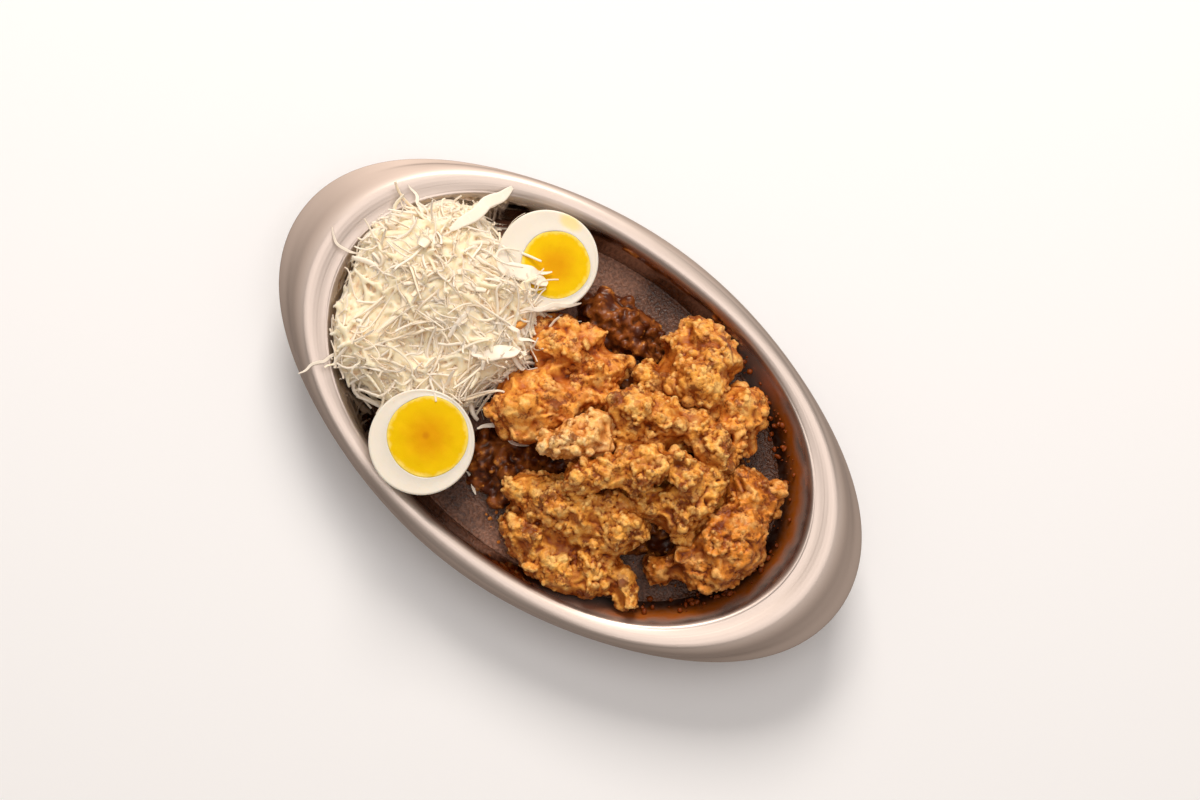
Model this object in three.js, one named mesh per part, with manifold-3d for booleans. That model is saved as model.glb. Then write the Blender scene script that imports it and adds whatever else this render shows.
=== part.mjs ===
// A plate of karaage curry: a boat-shaped stainless steel dish, 280 mm long, filled with thick
// brown curry sauce over rice, with fried chicken at one end, shredded cabbage at the other and
// two halves of a boiled egg between them.
// Millimetres, +Z up, +X towards the chicken's end. The origin is on the table under the middle.

import * as THREE from "three";
import { mergeVertices } from "three/addons/utils/BufferGeometryUtils.js";
import Module from "manifold-3d";

const wasm = await Module();
wasm.setup();

// ---- Driving dimensions ----

// The dish. Its rim rises from the long sides to both ends, where it widens into a flange.
const DISH_HALF_LENGTH = 140;
const DISH_HALF_WIDTH = 82.5;
const RIM_HEIGHT = 33;
const RIM_RISE = 8;
const SHEET = 1;
const FLOOR_HALF_LENGTH = 80;
const FLOOR_HALF_WIDTH = 48;
const TURN_STEPS = 40;

// The food.
const SAUCE_LEVEL = 18;
const SAUCE_HALF_LENGTH = 100.5;
const SAUCE_HALF_WIDTH = 66;
const HEAP_FOOT = 12;
const TALLEST_FOOD = 70;

// The clearance between two neighbours.
const GAP = 0.3;

// ---- Solids ----

// Turns a closed geometry into a solid, with shared corners merged and empty triangles dropped.
function solidFrom(geometry) {
  geometry.deleteAttribute("normal");
  geometry.deleteAttribute("uv");
  const merged = mergeVertices(geometry, 1e-4);
  const corners = [];
  for (let i = 0; i < merged.index.count; i += 3) {
    const [a, b, c] = merged.index.array.slice(i, i + 3);
    if (a !== b && b !== c && c !== a) corners.push(a, b, c);
  }
  return new wasm.Manifold(
    new wasm.Mesh({
      numProp: 3,
      vertProperties: new Float32Array(merged.attributes.position.array),
      triVerts: new Uint32Array(corners),
    }),
  );
}

// Turns a solid back into a geometry with flat-shaded faces.
function geometryFrom(solid) {
  const mesh = solid.getMesh();
  const geometry = new THREE.BufferGeometry();
  geometry.setAttribute("position", new THREE.BufferAttribute(mesh.vertProperties, 3));
  geometry.setIndex(new THREE.BufferAttribute(mesh.triVerts, 1));
  const flat = geometry.toNonIndexed();
  flat.computeVertexNormals();
  return flat;
}

function join(solids) {
  return solids.reduce((sum, solid) => sum.add(solid));
}

// A cut can leave crumbs loose beside a piece, so only its largest body is kept.
function largest(solid) {
  const bodies = solid.decompose();
  return bodies.reduce((best, body) => (body.volume() > best.volume() ? body : best));
}

// ---- Rings: the dish, and the space inside it ----

// A ring runs once round the dish. It is an ellipse whose shoulders, halfway between the ends
// and the sides, swell outwards by the share `swell`, and more towards the ends by `skew`.
// Its height grows by `rise` from the sides to the ends.
function ring(halfLength, halfWidth, height, rise = 0, swell = 0, skew = 0) {
  return { halfLength, halfWidth, height, rise, swell, skew };
}

function ringPoint(r, turn) {
  const shoulder = Math.sin(2 * turn) ** 2;
  const scale = 1 + shoulder * (r.swell + r.skew * Math.cos(2 * turn));
  const x = r.halfLength * Math.cos(turn) * scale;
  const y = r.halfWidth * Math.sin(turn) * scale;
  const z = r.height + r.rise * (x / DISH_HALF_LENGTH) ** 2;
  return [x, y, z];
}

// A closed solid with its skin stretched over a list of rings. The first ring is closed by a
// flat cap above and the last by a flat cap below.
function ringSolid(rings) {
  const points = [];
  for (const r of rings) {
    for (let step = 0; step < TURN_STEPS; step += 1) {
      points.push(...ringPoint(r, (2 * Math.PI * step) / TURN_STEPS));
    }
  }
  const triangles = [];
  for (let row = 0; row + 1 < rings.length; row += 1) {
    for (let step = 0; step < TURN_STEPS; step += 1) {
      const next = (step + 1) % TURN_STEPS;
      const a = row * TURN_STEPS + step;
      const b = row * TURN_STEPS + next;
      const c = a + TURN_STEPS;
      const d = b + TURN_STEPS;
      triangles.push(a, c, b, b, c, d);
    }
  }
  const top = points.length / 3;
  const bottom = top + 1;
  const lastRow = (rings.length - 1) * TURN_STEPS;
  points.push(0, 0, rings[0].height);
  points.push(0, 0, rings.at(-1).height);
  for (let step = 0; step < TURN_STEPS; step += 1) {
    const next = (step + 1) % TURN_STEPS;
    triangles.push(top, step, next);
    triangles.push(bottom, lastRow + next, lastRow + step);
  }
  const geometry = new THREE.BufferGeometry();
  geometry.setAttribute("position", new THREE.Float32BufferAttribute(points, 3));
  geometry.setIndex(triangles);
  return solidFrom(geometry);
}

// The dish's upper surface. Inside, it climbs from the floor to the top of the wall, and the
// sauce's edge is one of its rings. The rim goes on over a narrow ledge and a groove to the
// crest, and down the flange to its outer edge.
const dishInside = [
  ring(FLOOR_HALF_LENGTH, FLOOR_HALF_WIDTH, SHEET),
  ring(88, 56, 3.5),
  ring(95, 62, 10),
  ring(SAUCE_HALF_LENGTH, SAUCE_HALF_WIDTH, SAUCE_LEVEL),
  ring(108, 69.5, 26.5, 5.5, 0.017, -0.01),
  ring(112.8, 71.4, RIM_HEIGHT - 2.2, RIM_RISE, 0.0224, -0.0141),
];
const dishRim = [
  ring(117.3, 74.4, RIM_HEIGHT - 1.6, RIM_RISE, 0.024, -0.0144),
  ring(120.5, 77.5, RIM_HEIGHT, RIM_RISE, 0.016, -0.006),
  ring(125.5, 79.8, RIM_HEIGHT - 0.4, RIM_RISE, 0.012),
  ring(133, 81.4, RIM_HEIGHT - 1.3, RIM_RISE - 1.2, 0.002, 0.007),
  ring(DISH_HALF_LENGTH, DISH_HALF_WIDTH, RIM_HEIGHT - 2.3, RIM_RISE - 2.6, -0.016, 0.0142),
];

// The ring under another one, a sheet's thickness away along the section's normal.
function underside(r, before, after) {
  const run = after.halfLength - before.halfLength;
  const climb = after.height + after.rise - before.height - before.rise;
  const slope = Math.hypot(run, climb);
  const out = (SHEET * climb) / slope;
  const down = (SHEET * run) / slope;
  return ring(r.halfLength + out, r.halfWidth + out, r.height - down, r.rise, r.swell, r.skew);
}

function dish() {
  const upper = [...dishInside, ...dishRim];
  const lower = upper.slice(1, -1).map((r, i) => underside(r, upper[i], upper[i + 2]));
  const edge = { ...upper.at(-1), height: upper.at(-1).height - SHEET };
  const foot = ring(FLOOR_HALF_LENGTH, FLOOR_HALF_WIDTH, 0);
  return ringSolid([...upper, edge, ...lower.reverse(), foot]);
}

// The space inside the dish's wall, kept clear of it by the gap, up to a given height.
function inset(r) {
  const height = Math.max(r.height, SHEET + GAP);
  return { ...r, halfLength: r.halfLength - GAP, halfWidth: r.halfWidth - GAP, height };
}

function spaceTo(height) {
  const wall = dishInside.filter((r) => r.height <= height).map(inset);
  const level = { ...wall.at(-1), height, rise: 0 };
  return ringSolid([level, ...wall.reverse()]);
}

// Everything lower than a given height.
function below(height) {
  const length = DISH_HALF_LENGTH + SHEET;
  const width = DISH_HALF_WIDTH + SHEET;
  return ringSolid([ring(length, width, height), ring(length, width, -SHEET)]);
}

// ---- Lumps: fried chicken, rice and cabbage ----

// A slow ripple over the unit sphere, different for every place in the dish.
function ripple(direction, x, y) {
  const { x: dx, y: dy, z: dz } = direction;
  const first = Math.sin(4.1 * dx + x) * Math.sin(3.7 * dy + y);
  const second = Math.sin(6.3 * dy - x) * Math.sin(5.9 * dz + y);
  return 0.6 * first + 0.4 * second;
}

// Below SMALL_LUMP in half length, a lump is made of fewer faces.
const SMALL_LUMP = 9.1;
const LEAST_HALF_HEIGHT = 8;
const MOST_HALF_HEIGHT = 16;
const HEIGHT_SHARE = 0.6;

// One lump of a piece: an uneven ball, `long` by `wide` in half sizes, with its top at `top`.
// Its height follows from the other two sizes, within limits, and it is turned about the vertical.
function lump([x, y, top, long, wide, turn = 0], grow, unevenness) {
  const height = HEIGHT_SHARE * (long + wide);
  const tall = THREE.MathUtils.clamp(height, LEAST_HALF_HEIGHT, MOST_HALF_HEIGHT);
  const detail = long < SMALL_LUMP ? 0 : 1;
  const ball = new THREE.IcosahedronGeometry(1, detail);
  const position = ball.attributes.position;
  const direction = new THREE.Vector3();
  for (let i = 0; i < position.count; i += 1) {
    direction.fromBufferAttribute(position, i);
    const swell = 1 + unevenness * ripple(direction, x, y);
    position.setXYZ(
      i,
      direction.x * (long * swell + grow),
      direction.y * (wide * swell + grow),
      direction.z * (tall * swell + grow),
    );
  }
  ball.rotateZ(THREE.MathUtils.degToRad(turn));
  ball.translate(x, y, top - tall);
  return solidFrom(ball);
}

function lumps(list, grow, unevenness) {
  return join(list.map((entry) => lump(entry, grow, unevenness)));
}

// ---- Fried chicken ----

// Each piece is a list of lumps [x, y, top, half length, half width, turn]. The pieces are in
// the order in which they lie on each other, the uppermost first.
const CHICKEN_UNEVENNESS = 0.14;
const chicken = {
  karaage_diagonal: [
    [20.6, -21, 57, 8.6, 9],
    [28.7, -13.4, 60, 9, 8.4, 45],
    [37.6, -4.6, 62, 10.2, 9.2, 45],
    [42.2, -0.4, 61, 7.6, 7.2],
  ],
  karaage_pale: [
    [1.8, -18, 58, 6.8, 6, 20],
    [7.5, -12.5, 58, 7.6, 7.2],
    [14.8, -7.5, 57, 8.6, 7.2],
    [12.4, 1, 54, 7.4, 5.4],
  ],
  karaage_middle: [
    [52, 5, 62, 9.4, 6.4, -30],
    [61, -5.3, 53, 11, 12],
    [56.1, -11.7, 50, 7.6, 6.6],
    [66.1, 3.9, 51, 6.4, 8.4],
    [68.4, -12.5, 46, 5.8, 8],
    [63, 10, 52, 9, 9],
    [49, -13, 50, 9, 8.5],
  ],
  karaage_ridge: [
    [20.6, 13.2, 58, 9.6, 10.6],
    [33.8, 18.5, 56, 12.6, 8.6],
    [35.6, 6.7, 50, 11.2, 8],
    [23, 2, 50, 9, 9],
    [46.3, 24.5, 54, 6.6, 6.6],
    [56.9, 21, 56, 12.2, 9, -30],
  ],
  karaage_left: [
    [-18.8, 18.8, 48, 16.2, 11.8],
    [-2.5, 18.1, 46, 13.4, 11.2],
    [-10.9, 28.7, 45, 6.6, 6.8, -35],
    [4.9, 28.4, 42, 3.8, 4],
    [-15.5, -10, 50, 15, 15],
    [-2.5, -1.3, 47, 9.4, 10.4],
    [-15, 5, 45, 9, 11],
    [5, 12.5, 45, 9, 10],
  ],
  karaage_top: [
    [34.8, 41.5, 54, 13.2, 14.6],
    [31.5, 56.5, 48, 15.6, 7.2, -7],
    [17.5, 48.7, 43, 5.7, 5.2],
    [20.9, 29.8, 43, 9.6, 7],
    [34.3, 29.5, 43, 9.6, 6],
    [45, 33, 44, 9, 8],
  ],
  karaage_top_right: [
    [57.2, 42.6, 46, 11.2, 11.6],
    [58.4, 32.5, 45, 10.4, 8],
    [65.7, 31.1, 42, 6.6, 6.2],
  ],
  karaage_right: [
    [81.6, 14.8, 48, 14.6, 11],
    [90.5, 24.2, 47, 3.6, 4.8, -20],
    [85.2, -3.5, 51, 15.6, 17],
    [88.7, -14.6, 47, 9.4, 9.4],
    [78.2, -21.7, 42, 10.4, 7.6, -25],
    [70.1, -31.5, 36, 8.4, 5.4, 25],
  ],
  karaage_bottom: [
    [15.8, -36.5, 45, 16.2, 10.4, 10],
    [2.5, -40.5, 39, 7, 5.4],
    [30.6, -33.8, 48, 14.6, 12],
    [44.6, -28, 50, 10.6, 11],
    [27, -26, 47, 9, 10],
    [40, -20, 48, 9, 9],
    [19, -51.5, 38, 14.8, 11],
    [34.1, -57, 38, 15.4, 10],
    [46.6, -49.1, 40, 12, 11.2],
    [60.2, -44.6, 39, 6.6, 5, -10],
    [65.7, -48.7, 37, 4, 8.6, 10],
  ],
};

// ---- Eggs ----

// Half a boiled egg, cut across, with its cut face up. The yolk lies off the middle.
const EGG_DEPTH = 27;
const EGG_STEPS = 20;
const WHITE_ROWS = 4;
const YOLK_ROWS = 3;
const eggs = [
  { side: "front", x: -40.8, y: -49.4, cut: 47.4, radius: 21.8, yolk: [0.8, 3.2, 16.7], lean: 3 },
  { side: "back", x: -45.1, y: 42.5, cut: 45.4, radius: 21.3, yolk: [4, 0.4, 14.4], lean: 0 },
];

// A bowl-shaped half of an egg, round side down, with its flat face at height `collar`.
function halfBall(radius, depth, rows, collar) {
  const profile = [];
  for (let row = 0; row <= rows; row += 1) {
    const angle = (Math.PI / 2) * (row / rows);
    profile.push(new THREE.Vector2(radius * Math.sin(angle), -depth * Math.cos(angle)));
  }
  if (collar > 0) profile.push(new THREE.Vector2(radius, collar));
  profile.push(new THREE.Vector2(0, collar));
  const ball = new THREE.LatheGeometry(profile, EGG_STEPS);
  ball.rotateX(Math.PI / 2);
  return ball;
}

function eggPart(egg, radius, depth, rows, shiftX, shiftY, collar) {
  const ball = halfBall(radius, depth, rows, collar);
  ball.translate(shiftX, shiftY, 0);
  ball.rotateX(THREE.MathUtils.degToRad(egg.lean));
  ball.translate(egg.x, egg.y, egg.cut);
  return solidFrom(ball);
}

function eggYolk(egg, grow) {
  const [shiftX, shiftY, radius] = egg.yolk;
  return eggPart(egg, radius + grow, radius + grow, YOLK_ROWS, shiftX, shiftY, grow);
}

function eggWhole(egg, grow) {
  return eggPart(egg, egg.radius + grow, EGG_DEPTH + grow, WHITE_ROWS, 0, 0, grow);
}

// ---- Cabbage, coated rice and sauce ----

const CABBAGE_UNEVENNESS = 0.1;
const cabbage = [
  [-76, 8, 52, 36, 29],
  [-82, -24, 46, 24, 22],
  [-49, 4, 49, 22, 24],
  [-57, -24, 46, 22, 21],
  [-82, 29, 44, 20, 14],
  [-49, 23, 50, 15, 10],
];

const RICE_UNEVENNESS = 0.12;
const rice = [
  [-4.5, 42.9, 26, 25, 12],
  [-8, -33, 27, 22, 18],
  [34, 2, 28, 54, 40],
];

// ---- The plate of food ----

function material(color, roughness, metalness = 0) {
  return new THREE.MeshStandardMaterial({ color, roughness, metalness, flatShading: true });
}

const steel = material("#b5a79d", 0.35, 1);
const crust = material("#c07f3c", 0.6);
const white = material("#f1ebe2", 0.4);
const yolkYellow = material("#efb61d", 0.5);
const leaf = material("#ece5cf", 0.55);
const coatedRice = material("#5a3218", 0.45);
const sauceBrown = material("#4b3a34", 0.5);

const plate = new THREE.Group();

function place(name, solid, finish) {
  const mesh = new THREE.Mesh(geometryFrom(solid), finish);
  mesh.name = name;
  plate.add(mesh);
}

function plateOfFood() {
  const space = spaceTo(TALLEST_FOOD);
  const table = below(SAUCE_LEVEL + GAP);
  place("dish", dish(), steel);

  let taken = join(eggs.map((egg) => eggWhole(egg, GAP)));
  for (const egg of eggs) {
    place(`egg_white_${egg.side}`, eggWhole(egg, 0).subtract(eggYolk(egg, GAP)), white);
    place(`egg_yolk_${egg.side}`, eggYolk(egg, 0), yolkYellow);
  }
  for (const [name, list] of Object.entries(chicken)) {
    const piece = lumps(list, 0, CHICKEN_UNEVENNESS).intersect(space);
    place(name, largest(piece.subtract(taken).subtract(table)), crust);
    taken = taken.add(lumps(list, GAP, CHICKEN_UNEVENNESS));
  }

  const heap = lumps(cabbage, 0, CABBAGE_UNEVENNESS).intersect(space);
  place("cabbage_heap", largest(heap.subtract(taken).subtract(table)), leaf);
  const mound = lumps(rice, 0, RICE_UNEVENNESS).subtract(lumps(cabbage, GAP, CABBAGE_UNEVENNESS));
  place("sauced_rice", largest(mound.subtract(taken).subtract(below(HEAP_FOOT))), coatedRice);

  const riceSpace = lumps(rice, GAP, RICE_UNEVENNESS).subtract(below(HEAP_FOOT - GAP));
  place("curry_sauce", largest(spaceTo(SAUCE_LEVEL).subtract(riceSpace)), sauceBrown);
}

plateOfFood();

export default plate;
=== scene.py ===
# A plate of karaage curry in its boat-shaped stainless steel dish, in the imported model's frame:
# metres, +Z up, +X along the dish towards the fried chicken, the origin on the table.

import math
import random

import bmesh
import bpy
from mathutils import Matrix, Vector, noise
from mathutils.bvhtree import BVHTree


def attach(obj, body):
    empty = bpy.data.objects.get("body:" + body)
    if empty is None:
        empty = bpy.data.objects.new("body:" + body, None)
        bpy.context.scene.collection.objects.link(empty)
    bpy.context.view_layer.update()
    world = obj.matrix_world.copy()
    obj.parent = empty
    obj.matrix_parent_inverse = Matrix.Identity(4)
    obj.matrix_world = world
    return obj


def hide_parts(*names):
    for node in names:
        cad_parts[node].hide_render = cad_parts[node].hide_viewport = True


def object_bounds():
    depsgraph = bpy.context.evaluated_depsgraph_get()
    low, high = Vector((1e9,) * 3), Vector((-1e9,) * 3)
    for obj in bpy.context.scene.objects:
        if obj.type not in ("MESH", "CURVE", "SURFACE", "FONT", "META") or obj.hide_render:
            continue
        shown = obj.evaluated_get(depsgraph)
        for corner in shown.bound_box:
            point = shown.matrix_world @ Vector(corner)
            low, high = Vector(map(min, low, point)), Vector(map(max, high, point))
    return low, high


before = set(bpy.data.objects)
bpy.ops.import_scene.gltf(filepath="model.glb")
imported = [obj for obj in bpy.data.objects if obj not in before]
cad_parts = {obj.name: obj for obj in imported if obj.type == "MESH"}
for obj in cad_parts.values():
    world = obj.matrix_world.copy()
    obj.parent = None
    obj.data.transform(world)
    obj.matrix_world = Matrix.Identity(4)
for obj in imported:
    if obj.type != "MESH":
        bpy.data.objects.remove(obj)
cad_low, cad_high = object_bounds()
MM = 0.001

# ---- The dish ----
# One sheet of stainless steel, pressed into a boat-shaped oval bowl whose rim rises to both ends.
# The rim is a smooth roll, which parts at the ends into a ledge, a shallow groove, a crest and a
# wide flange. The bowl's inside is polished bright, and the rim is satin.

SHEET = 1 * MM
DISH_ROWS = 129
DISH_TURNS = 192
# The sauce has left a thin brown film on the wall at the chicken's end, with an uneven upper edge. Its
# colour is partly painted reflection of the chicken and the sauce that the wall would mirror.
FILM_TOP = 40 * MM
FILM_FADE = 8 * MM
FILM_UNEVEN = 7 * MM
FILM_ALONG = (25 * MM, 75 * MM)
# The film is nearly black at the sauce and turns brown between these heights, as painted reflection of the
# dark sauce low on the wall and of the chicken higher up.
PAINTED_REFLECTION_HEIGHTS = (21 * MM, 29 * MM)
# How dull the polished bowl is, and how much the wear, the satin rim, the flange and the film add.
POLISHED, WEAR, SATIN, BRUSHED, FILMED = 0.05, 0.08, 0.31, 0.22, 0.25
# Shares of the way to the edge over which the rim turns satin and the flange duller.
RIM_START = (0.42, 0.49)
FLANGE_START = (0.78, 0.86)

# The sizes that the ring table's columns are measured in, so that each column runs from -1 to 1. The
# first LENGTH_COLUMNS of them are lengths.
LENGTH_COLUMNS = 4
RING_UNITS = {
    "half_length": cad_high.x,
    "half_width": cad_high.y,
    "height": 33 * MM,
    "rise": 9 * MM,
    "swell": 0.03,
    "skew": 0.03,
}
# The dish's floor is flat up to this ring of the table.
FLOOR_EDGE = 2
# From the middle of the floor, over the wall, the ledge, the groove, the crest and the flange, to
# the edge. Columns: half length, half width, height and rise at the ends in millimetres, and how
# much the ring's shoulders swell, evenly and towards the ends.
DISH_RINGS = (
    (0, 0, 1, 0, 0, 0),
    (42, 25, 1, 0, 0, 0),
    (79, 47, 1, 0, 0, 0),
    (88, 56, 3.5, 0, 0, 0),
    (95, 62, 10, 0, 0, 0),
    (100.5, 66, 18, 0, 0, 0),
    (104.9, 68.1, 23, 2.6, 0.009, -0.005),
    (109, 69.9, 27.8, 6.2, 0.018, -0.011),
    (112.6, 71.4, 30.7, 8.5, 0.0224, -0.0141),
    (115, 72.9, 32.2, 6.96, 0.023, -0.0142),
    (117.3, 74.5, 32.9, 6.27, 0.023, -0.0142),
    (119, 76, 33, 6.64, 0.02, -0.01),
    (121.2, 77.7, 32.8, 7.47, 0.016, -0.006),
    (124, 79.2, 32.4, 8.16, 0.013, -0.001),
    (126.6, 80.2, 32, 8.13, 0.01, 0.002),
    (133, 81.4, 31.5, 6.54, 0.002, 0.007),
    (139.2, 82.35, 30.9, 5.36, -0.016, 0.0142),
    (140, 82.5, 30.5, 5.3, -0.016, 0.0142),
)


def colour(code):
    """A web colour such as "#c98a45" as the linear colour that a shader takes."""
    shares = [int(code[i:i + 2], 16) / 255 for i in (1, 3, 5)]
    return [s / 12.92 if s <= 0.04045 else ((s + 0.055) / 1.055) ** 2.4 for s in shares] + [1]


def make(tree, kind, inputs=(), **settings):
    """Adds a node with its settings. An input is a value or the output of another node."""
    made = tree.nodes.new(kind)
    for name, value in settings.items():
        setattr(made, name, value)
    for key, value in dict(inputs).items():
        named = [s for s in made.inputs if s.enabled and s.name == key]
        socket = made.inputs[key] if isinstance(key, int) else named[0]
        if isinstance(value, bpy.types.NodeSocket):
            tree.links.new(value, socket)
        else:
            socket.default_value = value
    return made


def result(made):
    """The first output of a node that is in use."""
    return next(s for s in made.outputs if s.enabled)


def take(tree, kind, inputs=(), **settings):
    """Adds a node and gives its first output that is in use."""
    return result(make(tree, kind, inputs, **settings))


def calc(tree, operation, *values):
    """Arithmetic with numbers."""
    return take(tree, "ShaderNodeMath", enumerate(values), operation=operation)


def times(tree, product, *factors):
    """The product of two or more numbers."""
    for factor in factors:
        product = calc(tree, "MULTIPLY", product, factor)
    return product


def vector_calc(tree, operation, *values):
    """Vector arithmetic. The input of SCALE that is a number is the last one."""
    if operation == "SCALE":
        inputs = {"Vector": values[0], "Scale": values[1]}
    else:
        inputs = enumerate(values)
    return take(tree, "ShaderNodeVectorMath", inputs, operation=operation)


def split(tree, vector):
    """The three parts of a vector."""
    return make(tree, "ShaderNodeSeparateXYZ", {"Vector": vector}).outputs


def join(tree, **parts):
    """A vector from its parts X, Y and Z."""
    return take(tree, "ShaderNodeCombineXYZ", parts)


def ramp(tree, value, low, high, to_low=0.0, to_high=1.0):
    """A smooth step from one value to another while the given one runs from low to high."""
    ends = {"Value": value, "From Min": low, "From Max": high, "To Min": to_low, "To Max": to_high}
    return take(tree, "ShaderNodeMapRange", ends, interpolation_type="SMOOTHSTEP")


def new_tree(name, sizes, geometry_in=True):
    """A geometry node tree with named sizes as inputs, and its Group Input and Output nodes."""
    tree = bpy.data.node_groups.new(name, "GeometryNodeTree")
    kinds = {int: "NodeSocketInt", float: "NodeSocketFloat", str: "NodeSocketMaterial"}
    if geometry_in:
        tree.interface.new_socket("Geometry", in_out="INPUT", socket_type="NodeSocketGeometry")
    for label, value in sizes.items():
        socket = tree.interface.new_socket(label, in_out="INPUT", socket_type=kinds[type(value)])
        if not isinstance(value, str):
            socket.default_value = value
    tree.interface.new_socket("Geometry", in_out="OUTPUT", socket_type="NodeSocketGeometry")
    return tree, make(tree, "NodeGroupInput").outputs, make(tree, "NodeGroupOutput").inputs[0]


def known(tree, kind):
    """What each point knows of itself, such as its Position or its Normal."""
    return make(tree, "GeometryNodeInput" + kind).outputs[0]


def set_place(tree, geometry, place):
    """Moves the points to a place."""
    return take(tree, "GeometryNodeSetPosition", {"Geometry": geometry, "Position": place})


def store(tree, geometry, name, value):
    """Keeps a number on the points, for a material to read."""
    inputs = {"Geometry": geometry, "Name": name, "Value": value}
    return take(tree, "GeometryNodeStoreNamedAttribute", inputs)


def finish_tree(tree, geometry, material, end):
    """The tree with its last nodes: the instances made real, smooth shading and the material."""
    real = take(tree, "GeometryNodeRealizeInstances", {"Geometry": geometry})
    smooth = take(tree, "GeometryNodeSetShadeSmooth", {"Geometry": real})
    dressed = make(tree, "GeometryNodeSetMaterial", {"Geometry": smooth, "Material": material})
    tree.links.new(result(dressed), end)
    return tree


def add_object(name, data):
    """Puts a mesh, a light or a camera into the scene."""
    added = bpy.data.objects.new(name, data)
    bpy.context.scene.collection.objects.link(added)
    return added


def nodes(tree):
    """A tree as one of the stages that a piece is grown by."""
    return "NODES", {"node_group": tree}


def grow(name, mesh, stages, sizes):
    """Runs modifiers and trees on a mesh and keeps what they make as a plain piece."""
    worker = add_object(name + "_worker", mesh)
    for kind, settings in stages:
        modifier = worker.modifiers.new(kind.title(), kind)
        for key, value in settings.items():
            setattr(modifier, key, value)
        if kind == "NODES":
            for item in modifier.node_group.interface.items_tree:
                if item.in_out == "INPUT" and item.name in sizes:
                    modifier[item.identifier] = sizes[item.name]
    depsgraph = bpy.context.evaluated_depsgraph_get()
    made = bpy.data.meshes.new_from_object(
        worker.evaluated_get(depsgraph), preserve_all_data_layers=True, depsgraph=depsgraph
    )
    bpy.data.objects.remove(worker)
    return add_object(name, made)


def new_material(name, **sockets):
    """A material with its Principled shader's own sockets set, and its object coordinates."""
    material = bpy.data.materials.new(name)
    material.use_nodes = True
    tree = material.node_tree
    shader = tree.nodes["Principled BSDF"]
    for key, value in sockets.items():
        shader.inputs[key.replace("_", " ")].default_value = value
    place = make(tree, "ShaderNodeTexCoord").outputs["Object"]
    return material, tree, shader, place


def grain(tree, place, size, detail=2.0, roughness=0.5, stretch=None):
    """Cloudy noise whose blobs are about `size` metres wide, from 0 to 1."""
    if stretch:
        place = take(tree, "ShaderNodeMapping", {"Vector": place, "Scale": stretch})
    inputs = {"Vector": place, "Scale": 1 / size, "Detail": detail, "Roughness": roughness}
    return make(tree, "ShaderNodeTexNoise", inputs).outputs[0]


def blend(tree, factor, low, high):
    """Mixes two colours."""
    inputs = {"Factor": factor, "A": low, "B": high}
    return take(tree, "ShaderNodeMix", inputs, data_type="RGBA")


def layered(tree, base, *layers):
    """A web colour with others laid over it in turn, each given after its share."""
    base = colour(base)
    for share, layer in layers:
        base = blend(tree, share, base, colour(layer))
    return base


def feed(tree, shader, **sockets):
    """Links what the nodes give to the shader's sockets."""
    for key, value in sockets.items():
        tree.links.new(value, shader.inputs[key.replace("_", " ")])


def bump(tree, shader, height, distance, strength=1.0):
    """Relief of the look only. The height runs from 0 to 1 over the distance."""
    inputs = {"Height": height, "Distance": distance, "Strength": strength}
    feed(tree, shader, Normal=take(tree, "ShaderNodeBump", inputs))


def read(tree, attribute):
    """A number stored on the piece's own points."""
    return make(tree, "ShaderNodeAttribute", (), attribute_name=attribute).outputs["Fac"]


def steel_material():
    """Satin steel with a polished bowl, and the film of sauce on its wall, whose colour is partly painted
    reflection.
    """
    material, tree, shader, place = new_material("satin_steel", Specular_IOR_Level=0.1)
    mottle = grain(tree, place, 38 * MM, 3.0)
    brushed = grain(tree, place, 0.5 * MM, 2.0, stretch=(0.06, 1, 1))
    rim = ramp(tree, read(tree, "from_middle"), *RIM_START)
    flange = ramp(tree, read(tree, "from_middle"), *FLANGE_START)
    dull = calc(tree, "MULTIPLY_ADD", mottle, WEAR, POLISHED)
    dull = calc(tree, "MULTIPLY_ADD", rim, SATIN, dull)
    dull = calc(tree, "MULTIPLY_ADD", flange, BRUSHED, dull)
    where = split(tree, place)
    uneven = calc(tree, "MULTIPLY_ADD", grain(tree, place, 9 * MM, 4.0), FILM_UNEVEN, where["Z"])
    below = ramp(tree, uneven, FILM_TOP, FILM_TOP - FILM_FADE)
    along = ramp(tree, where["X"], *FILM_ALONG)
    speckle = ramp(tree, grain(tree, place, 2.5 * MM, 3.0), 0.3, 0.7, 0.96, 1.0)
    film_and_reflection = times(tree, below, along, calc(tree, "SUBTRACT", 1, rim), speckle)
    # The film's colour, dark at the sauce and brown higher up, is painted reflection of the sauce and the
    # chicken.
    smear = layered(tree, "#2a0f02", (ramp(tree, where["Z"], *PAINTED_REFLECTION_HEIGHTS), "#9a5010"))
    tint = layered(tree, "#b8aba4", (mottle, "#c5b9b2"), (flange, "#b0a29a"))
    dull = calc(tree, "MULTIPLY_ADD", film_and_reflection, FILMED, dull)
    bare = calc(tree, "SUBTRACT", 1, film_and_reflection)
    feed(tree, shader, Base_Color=blend(tree, film_and_reflection, tint, smear), Roughness=dull, Metallic=bare)
    bump(tree, shader, brushed, 0.02 * MM, 0.25)
    return material


def ring_column(tree, share, column, unit):
    """One column of the ring table as a smooth curve over the share of the way to the edge."""
    curve = make(tree, "ShaderNodeFloatCurve", {"Value": share})
    curve.mapping.clip_min_y = -1
    points = curve.mapping.curves[0].points
    for i, ring in enumerate(DISH_RINGS):
        value = ring[column] * (MM if column < LENGTH_COLUMNS else 1) / unit
        at = i / (len(DISH_RINGS) - 1)
        if i in (0, 1):
            points[i].location = (at, value)
        else:
            points.new(at, value)
    points[FLOOR_EDGE].handle_type = "AUTO_CLAMPED"
    curve.mapping.update()
    return times(tree, result(curve), unit)


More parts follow.
